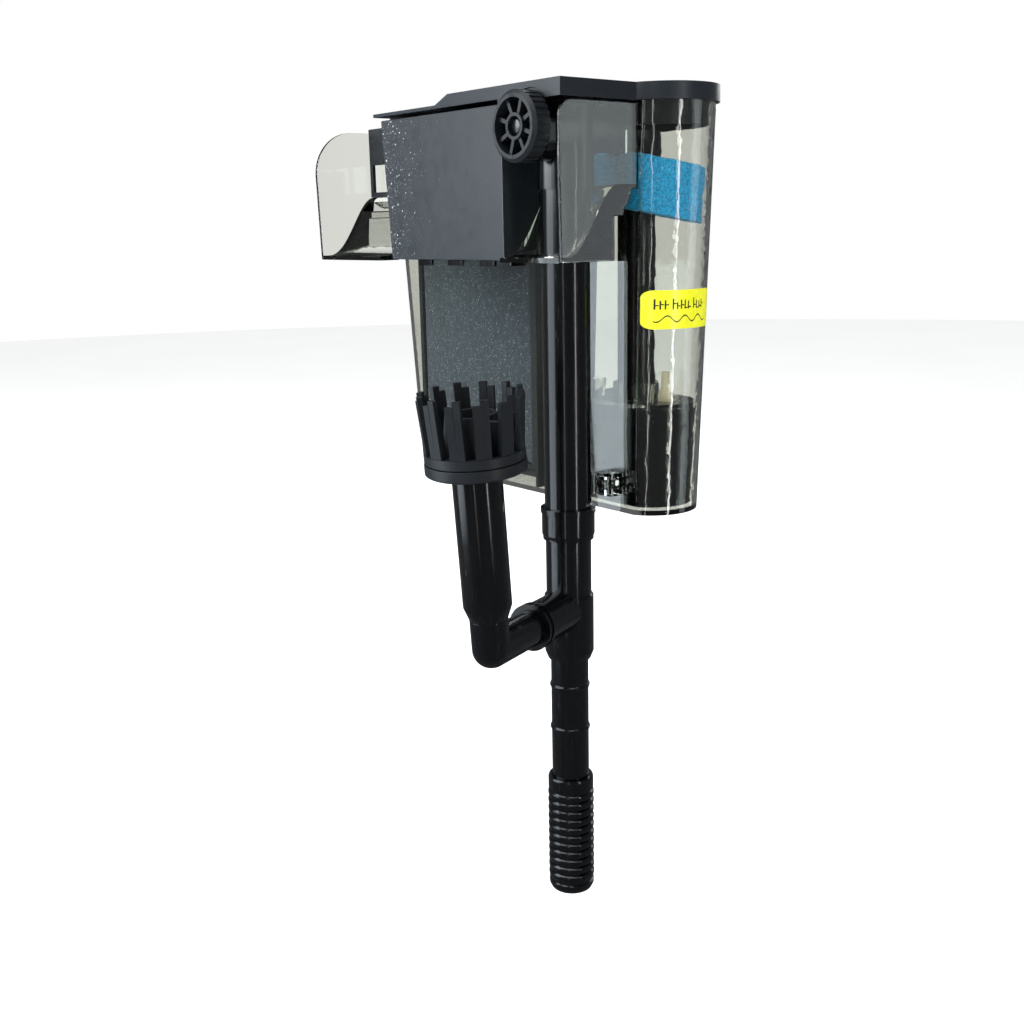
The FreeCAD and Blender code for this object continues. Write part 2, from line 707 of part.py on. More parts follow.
# ---------------------------------------------------------------- bridge, valve and knob
inlet_axis = ("tube_x", "tube_y")
outlet_axis = ("tube_x", "down_y")
span_axis = ("tube_x", "bridge_z")
bridge_tubes = pole("main_radius + 1.2", "main_top - 12", "bridge_z + bridge_radius - 0.9", inlet_axis).fuse([
    pole("bridge_radius", "tube_y", "down_y", span_axis, "y"),
    pole("bridge_radius + 0.6", "main_top - 2", "bridge_z + bridge_radius - 0.6", outlet_axis),
    pole("barrel_radius", "barrel_front", "tube_y", ("tube_x", "bridge_z - 1.6"), "y"),
])
bridge_bores = pole("main_radius", "main_top - 13", "main_top", inlet_axis).fuse([
    pole("bridge_bore - 0.5", "main_top - 1", "bridge_z", inlet_axis),
    pole("bridge_bore", "tube_y", "down_y + 1", span_axis, "y"),
    pole("bridge_bore - 0.7", "main_top - 3", "bridge_z", outlet_axis),
    pole("down_radius", "main_top - 3", "main_top + 4", outlet_axis),
    pole("plug_radius + shaft_fit", "plug_front - slide_fit", "plug_back + slide_fit", span_axis, "y"),
    pole("stem_radius + shaft_fit", "barrel_front - 1", "plug_front", span_axis, "y"),
    pole("stem_radius + 2", "barrel_front - 1", "barrel_front + 1.2", span_axis, "y"),
])
shaped("intake_bridge", bridge_tubes.cut(bridge_bores).removeSplitter())

plug = cut("plug_cut", rod("plug_solid", "plug_radius", "plug_front", "plug_back", ("tube_x", "bridge_z"), "y"), [
    rod("plug_outlet", "port_radius", "tube_y", "plug_back + 1", ("tube_x", "bridge_z"), "y"),
    rod("plug_inlet", "port_radius", "bridge_z - plug_radius - 1", "bridge_z", ("tube_x", "tube_y")),
])
node(plug, "valve_plug")
node(rod("stem_solid", "stem_radius", "knob_front + 3.4", "plug_front", ("tube_x", "bridge_z"), "y"), "valve_stem")

seal = new("Part::Torus", "stem_seal_ring")
bind(seal, "Radius1", "stem_radius + 1.05")
bind(seal, "Radius2", "0.9")
seal.Placement.Rotation = Rotation(Vector(1, 0, 0), 90)
place(seal, "tube_x", "barrel_front + 0.1", "bridge_z")
node(seal, "stem_seal")

screw = turned("knob_screw_body", [
    ("0", "0"), ("stem_radius - 0.4", "0"), ("stem_radius - 0.4", "1.4"), ("0", "1.8")])
screw.Placement.Rotation = Rotation(Vector(1, 0, 0), 90)
place(screw, "tube_x", "knob_front + 3.4", "bridge_z")
node(screw, "knob_screw")


def knob_body():
    """Open wheel: knurled bevelled rim, spokes and a bored hub, facing its own +Z."""
    radius = size("knob_radius")
    depth = size("knob_depth")
    teeth = 30
    rim = Part.makeCylinder(radius, depth - 1.4).fuse(
        Part.makeCone(radius, radius - 1.6, 1.4, Vector(0, 0, depth - 1.4)))
    notch = Part.makeBox(1.6, 1.5, depth, Vector(radius - 0.55, -0.75, -1.4))
    notches = []
    for i in range(teeth):
        groove = notch.copy()
        groove.rotate(Vector(), Vector(0, 0, 1), 360.0 * i / teeth)
        notches.append(groove)
    rim = rim.cut(notches)
    eye = Part.makeCylinder(radius - 3.2, depth, Vector(0, 0, 2.2))
    hub = Part.makeCylinder(size("hub_radius"), depth - 1.0)
    spokes = []
    count = int(size("spoke_count"))
    for i in range(count):
        spoke = Part.makeBox(radius - 2, size("spoke_wide"), depth - 2.6, Vector(0, -size("spoke_wide") / 2, 0.6))
        spoke.rotate(Vector(), Vector(0, 0, 1), 360.0 * (i + 0.5) / count + 4)
        spokes.append(spoke)
    wheel = rim.cut(eye).fuse([hub] + spokes)
    wheel = wheel.cut(Part.makeCylinder(size("hub_bore"), depth, Vector(0, 0, depth - 5.2)))
    return wheel.cut(Part.makeCylinder(size("stem_radius"), depth, Vector(0, 0, -1)))


knob = shaped("flow_knob", knob_body().removeSplitter())
knob.Placement = Placement(Vector(size("tube_x"), size("knob_back"), size("bridge_z")),
                           Rotation(Vector(1, 0, 0), 90))

# ---------------------------------------------------------------- surface skimmer
# Built upright with the branch axis at height zero, then leaned about that axis and turned with
# the tee. The pipe above the elbow is tipped forward a little about the elbow.
LEAN = TURN.multiply(Placement(Vector(size("tube_x"), 0, -size("branch_z")),
                               Rotation(Vector(0, 1, 0), -size("swivel_lean"))))
TIP = Placement(Vector(), Rotation(Vector(1, 0, 0), size("riser_tilt")), Vector(0, size("arm_y"), 0))
RISE = LEAN.multiply(TIP)


def posed(shape, label, where):
    item = shaped(label, shape)
    item.Placement = where
    return item


arm_y = size("arm_y")
arm_r = size("arm_radius")
arm_bore = arm_r - size("riser_wall") - 0.6
foot = size("riser_foot")
riser_r = size("riser_radius")
riser_wall = size("riser_wall")
spigot_start = size("branch_end")
cup_base = size("cup_base")
cup_r = size("cup_radius")
axis_y = Vector(0, 1, 0)

stub = size("arm_stub")
corner = Vector(0, arm_y, 0)
tipped = TIP.Rotation.multVec(Vector(0, 0, 1))
elbow = Part.makeCylinder(arm_r, spigot_start - size("slide_fit") - arm_y, corner, axis_y)
elbow = elbow.fuse([Part.makeSphere(arm_r, corner),
                    Part.makeCylinder(arm_r, stub, corner, tipped),
                    Part.makeCylinder(arm_r - 1.2, 16, Vector(0, spigot_start - 4, 0), axis_y)])
elbow = elbow.cut([Part.makeCylinder(arm_bore, 60, corner, axis_y),
                   Part.makeSphere(arm_bore, corner),
                   Part.makeCylinder(arm_bore, stub + 5, corner, tipped)])
posed(elbow.removeSplitter(), "skimmer_elbow", LEAN)


def ring_turn(points, centre_y):
    """A solid turned about the upright line through (0, centre_y)."""
    wire = Part.Wire(lines([(r, centre_y, z) for r, z in points + points[:1]]))
    return Part.Face(wire).revolve(Vector(0, centre_y, 0), Vector(0, 0, 1), 360)


inner_r = riser_r - riser_wall
riser = ring_turn([(arm_bore, stub), (arm_r, stub), (riser_r, foot), (riser_r, cup_base - 1.5),
                   (inner_r, cup_base - 1.5), (inner_r, foot + 1), (arm_bore, foot - 2)], arm_y)
posed(riser, "riser_tube", RISE)

spigot_r = inner_r - size("slide_fit")
cup = ring_turn([(spigot_r - 1.4, cup_base - 26), (spigot_r, cup_base - 26), (spigot_r, cup_base),
                 (cup_r - 1.2, cup_base), (cup_r, cup_base + 0.8), (cup_r, cup_base + size("cup_ring")),
                 (cup_r - 1.8, cup_base + size("cup_ring")), (cup_r - 1.8, size("cup_floor")),
                 (spigot_r - 1.4, size("cup_floor"))], arm_y)
posed(cup, "skimmer_cup", RISE)


def crown():
    """Band on the cup with upright staves that lean out a little, each with a stepped top."""
    count = int(size("stave_count"))
    half = size("stave_wide") / 2
    deep = size("stave_thick")
    top = size("crown_top")
    ring_top = cup_base + size("cup_ring")
    band_top = ring_top + 0.5 + size("crown_band")
    neck_r = cup_r - 1.85
    low = cup_r - 0.9
    high = low + size("crown_flare")
    staves = []
    for side, upper in ((-half, top - size("crown_step")), (0, top)):
        blank = prism(lines([(low - deep, side, band_top - 1), (low, side, band_top - 1), (high, side, upper),
                             (high - deep, side, upper), (low - deep, side, band_top - 1)]), (0, half, 0))
        for i in range(count):
            stave = blank.copy()
            stave.rotate(Vector(), Vector(0, 0, 1), 360.0 * (i + 0.5) / count)
            staves.append(stave)
    foot_ring = Vector(0, 0, ring_top - 2.7)
    band = Part.makeCylinder(neck_r, band_top - ring_top + 2.7, foot_ring).fuse(
        Part.makeCylinder(cup_r - 0.4, size("crown_band"), Vector(0, 0, ring_top + 0.5)))
    shape = band.fuse(staves).cut(Part.makeCylinder(neck_r - 1.4, top, foot_ring))
    shape.translate(Vector(0, arm_y, 0))
    return shape.removeSplitter()


posed(crown(), "skimmer_crown", RISE)


def vanes():
    """Slanted blades on a collar that turn the water as it drops into the cup."""
    count = int(size("stave_count")) // 2
    low = size("cup_floor")
    tall = size("crown_top") - low - 10
    collar = Part.makeCylinder(size("float_radius") + 2.4, 3).cut(Part.makeCylinder(size("float_radius") + 0.6, 3))
    blades = []
    for i in range(count):
        blade = Part.makeBox(cup_r - 4.4 - size("float_radius") - 1.6, 1.4, tall,
                             Vector(size("float_radius") + 1.6, -0.7, 0))
        blade.rotate(Vector(), Vector(1, 0, 0), 14)
        blade.rotate(Vector(), Vector(0, 0, 1), 360.0 * i / count)
        blades.append(blade)
    shape = collar.fuse(blades).cut(Part.makeBox(80, 80, 20, Vector(-40, -40, -20)))
    shape = shape.common(Part.makeCylinder(cup_r - 3.6, 80).cut(
        Part.makeCylinder(size("float_radius") + 0.6, 80)))
    shape.translate(Vector(0, arm_y, low))
    return shape.removeSplitter()


posed(vanes(), "skimmer_vanes", RISE)

float_r = size("float_radius")
float_low = size("cup_floor") + 0.4
float_cup = ring_turn([(0, float_low), (float_r - 1, float_low), (float_r, float_low + 1),
                       (float_r, float_low + size("float_height")), (float_r - 1.6, float_low + size("float_height")),
                       (float_r - 1.6, float_low + 2.2), (0, float_low + 1.8)], arm_y)
posed(float_cup, "skimmer_float", RISE)

# ---------------------------------------------------------------- pump
pump_floor = size("pump_floor")
pump_head = size("pump_head")
axis = Vector(size("tube_x"), size("down_y"), 0)


def post(radius, low, high):
    return Part.makeCylinder(radius, high - low, axis + Vector(0, 0, low))


well_floor = pump_head - size("well_depth")
volute_floor = pump_head - size("vane_height") - 2
core_x = size("pump_left") + 4
core_room = Part.makeBox(13, 24, 24, Vector(core_x, size("down_y") - 12, volute_floor - 34))
motor = tub_block(pump_floor, pump_head, WALL + size("pump_gap"))
motor = motor.common(block(("pump_left", "lobe_x_top + 40"), ("tub_front", "tub_front + 70"),
                           ("0 - tub_depth", "pump_head")))
motor = motor.cut([post(size("vane_radius") + 1.6, volute_floor, pump_head + 1),
                   post(size("well_radius"), well_floor, volute_floor + 1), core_room,
                   Part.makeBox(60, 9, 7, Vector(size("pump_left") - 1, size("down_y") - 12, volute_floor + 1))])
motor = motor.cut(pole("gland_radius - 2.4", "tub_front + 18", "tub_front + 60", ("gland_x", "gland_level"), "y"))
shaped("motor_housing", motor)

core = Part.makeBox(12, 23, 6, Vector(core_x + 0.5, size("down_y") - 11.5, volute_floor - 33.5)).fuse([
    Part.makeBox(12, 23, 6, Vector(core_x + 0.5, size("down_y") - 11.5, volute_floor - 16.5)),
    Part.makeBox(5, 10, 24 - 8, Vector(core_x + 4, size("down_y") - 5, volute_floor - 31)),
])
shaped("stator_core", core.removeSplitter())
coil = Part.makeBox(11, 20, 10.4, Vector(core_x + 1, size("down_y") - 10, volute_floor - 27.2))
coil = coil.cut(Part.makeBox(5.2, 10.2, 12, Vector(core_x + 3.9, size("down_y") - 5.1, volute_floor - 28)))
shaped("stator_coil", coil)

# Clear cover with an inlet collar and two clear cups for the clips.
media_front = size("media_front")
cover_base = pump_head
cover_top = cover_base + size("cover_thick")
cover = tub_block(cover_base, cover_top, WALL + size("pump_gap") + 0.3)
cover = cover.common(block(("pump_left + 1", "lobe_x_top + 40"), ("tub_front", "tub_front + 70"),
                           ("pump_head - 1", "pump_head + cover_thick")))
cover = cover.fuse(post(size("down_radius") + 2.2, cover_top, cover_top + 8))
for cup_x in (-17, 15):
    cup_spot = Vector(size("tube_x") + cup_x, media_front + 5.4, cover_top)
    clip_cup = Part.makeCone(4.2, 5.2, 9, cup_spot).cut(Part.makeCone(3.2, 4.2, 9, cup_spot + Vector(0, 0, 0.1)))
    cover = cover.fuse(clip_cup)
cover = cover.cut([post(size("down_radius"), cover_top, cover_top + 9),
                   post(size("down_radius") - size("down_wall"), cover_base - 1, cover_top + 1)])
shaped("impeller_cover", cover.removeSplitter())

nozzle = turned("nozzle_body", [
    ("0", "0"), ("3.4", "0"), ("3.4", "3"), ("1.9", "7"), ("1.9", "14"), ("1.0", "14"), ("1.0", "2"), ("0", "2")],
    "tube_x + 17", "down_y + 2", "pump_head + cover_thick")
node(nozzle, "bleed_nozzle")

down_pipe = turned("down_pipe_body", [
    ("down_radius - down_wall", "pump_head + cover_thick"), ("down_radius", "pump_head + cover_thick"),
    ("down_radius", "main_top + 4"), ("down_radius - down_wall", "main_top + 4")], "tube_x", "down_y")
node(down_pipe, "down_pipe")

shaft_r = size("shaft_radius")
bush_r = size("bush_radius")
bush_l = size("bush_length")
bushes = [post(bush_r, well_floor, well_floor + bush_l).cut(post(shaft_r, well_floor, well_floor + bush_l))]
top_bush = pump_head - bush_l + 0.4
spider = post(bush_r, top_bush, pump_head).cut(post(shaft_r, top_bush - 1, pump_head + 1))
bushes.append(spider)
shaped("shaft_bushes", Part.makeCompound(bushes))
shaped("ceramic_shaft", post(shaft_r, well_floor, pump_head))

turn_r = shaft_r + size("shaft_fit")
magnet_low = well_floor + bush_l + 0.5
magnet_high = magnet_low + size("rotor_length")
shaped("rotor_magnet", post(size("rotor_radius"), magnet_low, magnet_high).cut(post(turn_r, magnet_low, magnet_high)))


def impeller():
    """Hub and curved-looking straight vanes above a thin disc, on top of the magnet."""
    disc_low = volute_floor + 0.5
    top = top_bush - 0.5
    hub = post(3.6, magnet_high, top)
    disc = post(size("vane_radius") - 1, disc_low, disc_low + 1)
    count = int(size("vane_count"))
    blades = []
    for i in range(count):
        blade = Part.makeBox(size("vane_radius") - 3, 1.2, top - disc_low, Vector(2.6, -0.6, disc_low))
        blade.rotate(Vector(2.6, 0, 0), Vector(0, 0, 1), 18)
        blade.rotate(Vector(), Vector(0, 0, 1), 360.0 * i / count)
        blade.translate(axis)
        blades.append(blade)
    shape = hub.fuse([disc] + blades).common(post(size("vane_radius"), magnet_high, top))
    return shape.cut(post(turn_r, magnet_high - 1, top + 1)).removeSplitter()


shaped("impeller", impeller())

gland = turned("gland_body", [
    ("0", "0"), ("gland_radius + 1.5", "0"), ("gland_radius + 1.5", "1.6"), ("gland_radius", "2.4"),
    ("gland_radius - 1.2", "8"), ("gland_radius - 2.2", "8"), ("gland_radius - 2.2", "1.4"), ("0", "1.4")])
gland.Placement.Rotation = Rotation(Vector(1, 0, 0), -90)
place(gland, "gland_x", "gland_wall", "gland_level")
node(gland, "cord_gland")

# ---------------------------------------------------------------- filter media
grid_low = size("grid_base")
grid_high = size("grid_top")
media_right = size("media_right")
chamber = tub_block(grid_low, size("crest_height") - 2, WALL + size("media_gap"))


def chamber_slice(xs, ys, zs):
    low = Vector(xs[0], ys[0], zs[0])
    return chamber.common(Part.makeBox(xs[1] - xs[0], ys[1] - ys[0], zs[1] - zs[0], low))


far_left = -size("tub_left_top")
grid = chamber_slice((far_left, media_right), (media_front - 1, media_front + 60), (grid_low, grid_high))
grid_box = grid.BoundBox
holes = []
for row in range(3):
    for column in range(8):
        holes.append(Part.makeBox(8, 7, 6, Vector(grid_box.XMin + 6 + 11.6 * column,
                                                  grid_box.YMin + 5 + 10.5 * row, grid_low - 1)))
shaped("media_grid", grid.cut(holes))

cart_left = -size("cartridge_left")
cart_back = media_front + size("cartridge_thick")
cart_low = grid_high + 0.3
cart_high = crest - 4
pad_inset = 3.0
cart = Part.makeBox(media_right - cart_left, cart_back - media_front, cart_high - cart_low,
                    Vector(cart_left, media_front, cart_low))
cart_window = Part.makeBox(media_right - cart_left - 2 * pad_inset, cart_back - media_front + 2,
                           cart_high - cart_low - 2 * pad_inset,
                           Vector(cart_left + pad_inset, media_front - 1, cart_low + pad_inset))
shaped("cartridge_frame", cart.cut(cart_window))
shaped("cartridge_pad", Part.makeBox(media_right - cart_left - 2 * pad_inset - 0.6, cart_back - media_front - 0.8,
                                     cart_high - cart_low - 2 * pad_inset - 0.6,
                                     Vector(cart_left + pad_inset + 0.3, media_front + 0.4,
                                            cart_low + pad_inset + 0.3)))
sponge_front = cart_back + 1.0
shaped("coarse_sponge", chamber_slice((cart_left, media_right), (sponge_front, sponge_front + size("sponge_thick")),
                                      (cart_low, -8)))

rings = []
ring_r = size("ring_radius")
for row in range(2):
    for column in range(6):
        spot = Vector(cart_left + 10 + 14.5 * column, sponge_front + 1 + 12 * row, -8 + ring_r + 0.4)
        ring = Part.makeCylinder(ring_r, size("ring_length"), spot, axis_y)
        rings.append(ring.cut(Part.makeCylinder(size("ring_bore"), size("ring_length"), spot, axis_y)))
shaped("ceramic_rings", Part.makeCompound(rings))

# Soft blue sponge round the down pipe, sitting a little askew.
sponge_low = size("sponge_top") - size("sponge_height") / 2
blue = tub_block(sponge_low - 12, sponge_low + size("sponge_height") + 12, WALL + 1.2)
blue = blue.common(block(("pump_left + 10", "lobe_x_top + 40"), ("tub_front", "tub_front + 70"),
                         ("0 - tub_depth", "tub_height")))
slab_box = Part.makeBox(120, 120, size("sponge_height"), Vector(-60, -60, -size("sponge_height") / 2))
slab_box.rotate(Vector(), Vector(1, -0.9, 0), -size("sponge_tilt"))
slab_box.translate(axis + Vector(0, 0, size("sponge_top")))
blue = blue.common(slab_box).cut([post(size("down_radius") + 0.3, -60, 90),
                                  post(size("bridge_radius") + 1.1, size("main_top") - 3, 90),
                                  pole("bridge_radius + 0.5", "tub_front", "down_y", ("tube_x", "bridge_z"), "y")])
shaped("blue_sponge", blue)

# ---------------------------------------------------------------- foot, label
guide = cut("guide_cut", box("guide_block", ("foot_x - 5.5", "foot_x + 5.5"), ("tub_front - guide_length", "tub_front"),
                             ("foot_level - 5.5", "foot_level + 5.5")),
            [rod("guide_bore", "foot_rod + shaft_fit", "tub_front - guide_length - 1", "tub_front + 1",
                 ("foot_x", "foot_level"), "y")])
node(guide, "foot_guide")
foot_pad = fuse("foot_fuse", [
    box("foot_pad", ("foot_x - foot_wide / 2", "foot_x + foot_wide / 2"),
        ("tub_front - guide_length - slide_fit - foot_plate", "tub_front - guide_length - slide_fit"),
        ("foot_level - foot_wide / 2", "foot_level + foot_wide / 2")),
    rod("foot_stem", "foot_rod", "tub_front - guide_length - 1", "tub_front - slide_fit",
        ("foot_x", "foot_level"), "y"),
])
node(foot_pad, "levelling_foot")

label_low = size("label_base")
label_high = -size("label_top")
label = tub_block(label_low, label_high, -size("label_thick")).cut(tub_block(label_low - 1, label_high + 1, 0))
label = label.common(block(("lobe_x_bottom + 10.6", "lobe_x_top + 40"), ("tub_front + 0.8", "tub_front + 36"),
                           ("label_base", "0 - label_top")))
shaped("level_label", label)

# ---------------------------------------------------------------- check and write
doc.recompute()
for item in doc.Objects:
    if "Invalid" in item.State or "Error" in item.State:
        raise RuntimeError("%s did not compute: %s" % (item.Label, item.State))
os.makedirs("parts", exist_ok=True)
for item in PARTS:
    shape = item.Shape
    if shape.isNull() or not shape.isValid() or not shape.Solids:
        raise RuntimeError("%s has no valid solid" % item.Label)
    shape.exportStep("parts/%s.step" % item.Label)
print("wrote %d sub-parts" % len(PARTS))
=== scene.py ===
import json
import math
import random

import bpy
from mathutils import Matrix, Vector

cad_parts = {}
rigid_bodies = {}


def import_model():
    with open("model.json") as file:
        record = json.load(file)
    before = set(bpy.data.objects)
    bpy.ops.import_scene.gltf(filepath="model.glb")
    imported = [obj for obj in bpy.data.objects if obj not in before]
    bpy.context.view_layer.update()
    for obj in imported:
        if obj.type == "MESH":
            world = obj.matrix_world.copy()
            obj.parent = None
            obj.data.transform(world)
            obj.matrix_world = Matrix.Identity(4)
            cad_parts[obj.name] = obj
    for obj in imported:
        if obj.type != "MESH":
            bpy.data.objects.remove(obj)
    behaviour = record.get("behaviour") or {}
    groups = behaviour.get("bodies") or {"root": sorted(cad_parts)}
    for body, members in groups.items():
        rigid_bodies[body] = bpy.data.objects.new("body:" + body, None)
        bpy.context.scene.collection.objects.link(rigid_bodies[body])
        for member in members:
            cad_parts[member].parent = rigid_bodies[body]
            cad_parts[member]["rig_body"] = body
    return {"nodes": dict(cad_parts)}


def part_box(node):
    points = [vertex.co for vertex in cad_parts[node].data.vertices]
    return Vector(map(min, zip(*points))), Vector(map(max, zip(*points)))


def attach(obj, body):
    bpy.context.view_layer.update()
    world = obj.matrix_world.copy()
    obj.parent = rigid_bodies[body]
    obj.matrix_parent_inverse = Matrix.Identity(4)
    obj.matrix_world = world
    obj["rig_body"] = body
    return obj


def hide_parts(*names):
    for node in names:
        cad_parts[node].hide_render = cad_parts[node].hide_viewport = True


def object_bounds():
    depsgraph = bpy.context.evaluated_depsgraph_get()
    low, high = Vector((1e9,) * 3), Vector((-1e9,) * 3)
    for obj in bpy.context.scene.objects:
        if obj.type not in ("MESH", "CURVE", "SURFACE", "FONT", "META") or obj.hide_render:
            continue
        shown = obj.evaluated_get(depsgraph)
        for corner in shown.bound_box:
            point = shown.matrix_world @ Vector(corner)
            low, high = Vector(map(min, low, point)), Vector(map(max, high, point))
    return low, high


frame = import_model()
cad_low, cad_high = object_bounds()

# A hang-on-back aquarium filter, in metres: +X along the glass, +Y away from the water, +Z up.
MM = 0.001
MERGE_WITHIN = 0.002 * MM
FLAT_WITHIN = math.radians(0.6)
EDGE_ANGLE = math.radians(32)
FLOOR_DROP = 30 * MM
FLOOR_RADIUS = 4.0
STROKE_START_X = 130 * MM


# ---------------------------------------------------------------- small helpers
def deselect():
    """Nothing stays selected, so that an operator acts only on what is picked next."""
    if bpy.context.object and bpy.context.object.mode != "OBJECT":
        bpy.ops.object.mode_set(mode="OBJECT")
    bpy.ops.object.select_all(action="DESELECT")


def pick(*pieces):
    """Selects just these pieces; the first is the active one."""
    deselect()
    for piece in pieces:
        piece.select_set(True)
    bpy.context.view_layer.objects.active = pieces[0]


def apply_modifier(piece, name, kind, **settings):
    """Adds one modifier and applies it at once."""
    modifier = piece.modifiers.new(name, kind)
    for setting, value in settings.items():
        setattr(modifier, setting, value)
    pick(piece)
    bpy.ops.object.modifier_apply(modifier=modifier.name)


def settle(piece):
    """Moves a piece's place into its mesh, so that its object sits at the origin."""
    pick(piece)
    bpy.ops.object.transform_apply(location=True, rotation=True, scale=True)
    return piece


def smooth(piece, angle=35):
    pick(piece)
    bpy.ops.object.shade_smooth_by_angle(angle=math.radians(angle))


def join(pieces, name):
    """One mesh out of several."""
    pick(*pieces)
    bpy.ops.object.join()
    whole = bpy.context.object
    whole.name = name
    whole.data.name = name
    return settle(whole)


def paint(piece, material):
    piece.data.materials.clear()
    piece.data.materials.append(material)


def merged_copy(node, name):
    """A copy of a CAD node with its loose triangles joined into one surface."""
    piece = bpy.data.objects.new(name, frame["nodes"][node].data.copy())
    piece.data.name = name
    bpy.context.scene.collection.objects.link(piece)
    pick(piece)
    if piece.data.has_custom_normals:
        bpy.ops.mesh.customdata_custom_splitnormals_clear()
    bpy.ops.object.mode_set(mode="EDIT")
    bpy.ops.mesh.select_all(action="SELECT")
    bpy.ops.mesh.remove_doubles(threshold=MERGE_WITHIN)
    bpy.ops.mesh.dissolve_limited(angle_limit=FLAT_WITHIN, delimit={"SHARP"})
    bpy.ops.object.mode_set(mode="OBJECT")
    return piece


def goes_with(piece, node, material):
    """The piece moves with a CAD node's body and takes its slot."""
    paint(piece, material)
    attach(piece, frame["nodes"][node]["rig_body"])


def stands_for(piece, node, material):
    """The finished piece rides where the CAD node rides and is shown in its place."""
    goes_with(piece, node, material)
    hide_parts(node)


# ---------------------------------------------------------------- materials
class Finish:
    """One node material, built step by step from Object coordinates in metres."""

    def __init__(self, name, roughness=0.5, **fixed):
        self.material = bpy.data.materials.new(name)
        self.material.use_nodes = True
        self.tree = self.material.node_tree
        self.shader = self.tree.nodes["Principled BSDF"]
        self.shader.inputs["Roughness"].default_value = roughness
        for socket, value in fixed.items():
            self.shader.inputs[socket.replace("_", " ")].default_value = value
        self.place = self.add("ShaderNodeTexCoord").outputs["Object"]

    def add(self, kind, **sockets):
        node = self.tree.nodes.new(kind)
        for socket, value in sockets.items():
            self.feed(node.inputs[socket.replace("_", " ")], value)
        return node

    def feed(self, socket, value):
        if isinstance(value, bpy.types.NodeSocket):
            self.tree.links.new(value, socket)
        else:
            socket.default_value = value

    def noise(self, scale, detail=3.0, stretch=(1, 1, 1)):
        spot = self.add("ShaderNodeMapping", Vector=self.place, Scale=stretch).outputs["Vector"]
        return self.add("ShaderNodeTexNoise", Vector=spot, Scale=scale, Detail=detail).outputs["Fac"]

    def cells(self, scale):
        return self.add("ShaderNodeTexVoronoi", Vector=self.place, Scale=scale).outputs["Distance"]

    def spread(self, value, low, high, out_low=0.0, out_high=1.0):
        node = self.add("ShaderNodeMapRange", Value=value, From_Min=low, From_Max=high,
                        To_Min=out_low, To_Max=out_high)
        return node.outputs["Result"]

    def sum(self, first, second, operation="ADD"):
        node = self.tree.nodes.new("ShaderNodeMath")
        node.operation = operation
        self.feed(node.inputs[0], first)
        self.feed(node.inputs[1], second)
        return node.outputs[0]

    def blend(self, share, first, second):
        node = self.tree.nodes.new("ShaderNodeMix")
        node.data_type = "RGBA"
        self.feed(node.inputs[0], share)
        self.feed(node.inputs[6], first)
        self.feed(node.inputs[7], second)
        return node.outputs[2]

    def colour(self, socket):
        self.feed(self.shader.inputs["Base Color"], socket)

    def rough(self, socket):
        self.feed(self.shader.inputs["Roughness"], socket)

    def show(self, share, first, second):
        """The surface is a mix of two shaders."""
        mixed = self.tree.nodes.new("ShaderNodeMixShader")
        for socket, source in zip(mixed.inputs, (share, first, second)):
            self.feed(socket, source)
        self.feed(self.tree.nodes["Material Output"].inputs["Surface"], mixed.outputs[0])

    def bump(self, height, depth, strength=1.0):
        """Raises the surface by height times depth, in metres."""
        under = self.shader.inputs["Normal"]
        node = self.add("ShaderNodeBump", Height=height, Distance=depth, Strength=strength)
        if under.is_linked:
            self.tree.links.new(under.links[0].from_socket, node.inputs["Normal"])
        self.tree.links.new(node.outputs["Normal"], under)


def tone(red, green, blue):
    return (red, green, blue, 1.0)


def satin_plastic(name, dark, light, roughness=(0.34, 0.48)):
    """Moulded plastic with a spark-eroded grain, faint flow marks and a little dust in the texture."""
    finish = Finish(name, Specular_IOR_Level=0.28)
    cloud = finish.noise(26, 4)
    speck = finish.spread(finish.noise(2100, 2), 0.68, 0.80)
    body = finish.blend(finish.spread(cloud, 0.2, 0.8), dark, light)
    finish.colour(finish.blend(finish.sum(speck, 0.3, "MULTIPLY"), body, tone(0.14, 0.15, 0.16)))
    finish.rough(finish.spread(finish.noise(170, 3), 0.3, 0.7, *roughness))
    finish.bump(finish.noise(2600, 2), 0.04 * MM, 0.5)
    finish.bump(cloud, 0.2 * MM, 0.12)
    return finish.material


def wet_plastic(name, dark, light, roughness=(0.32, 0.44)):
    """Satin plastic with fine water beads, thickest towards -X; each bead also carries a painted highlight as
    pale colour.
    """
    finish = Finish(name, Specular_IOR_Level=0.42)
    body = finish.blend(finish.spread(finish.noise(24, 4), 0.2, 0.8), dark, light)
    across = finish.add("ShaderNodeSeparateXYZ", Vector=finish.place).outputs["X"]
    crowd = finish.spread(across, -36 * MM, 14 * MM, 0.30, 0.78)
    beads_and_painted_glints = 0.0
    for scale in (560, 1500):
        cell = finish.add("ShaderNodeTexVoronoi", Vector=finish.place, Scale=scale)
        chance = finish.add("ShaderNodeSeparateColor", Color=cell.outputs["Color"]).outputs[0]
        reach = finish.sum(finish.sum(chance, crowd, "SUBTRACT"), 0.55, "MULTIPLY")
        dome = finish.spread(finish.sum(reach, cell.outputs["Distance"], "SUBTRACT"), 0.0, 0.10)
        beads_and_painted_glints = finish.sum(beads_and_painted_glints, dome, "MAXIMUM")
    # Painted highlight: the colour is blended towards pale grey on the beads; their gloss and bump are real.
    finish.colour(finish.blend(finish.sum(beads_and_painted_glints, 0.75, "MULTIPLY"), body, tone(0.42, 0.45, 0.48)))
    dry = finish.spread(finish.noise(170, 3), 0.3, 0.7, *roughness)
    finish.rough(finish.sum(dry, finish.sum(beads_and_painted_glints, 0.26, "MULTIPLY"), "SUBTRACT"))
    finish.bump(finish.noise(2600, 2), 0.04 * MM, 0.5)
    finish.bump(beads_and_painted_glints, 0.18 * MM, 0.9)
    return finish.material


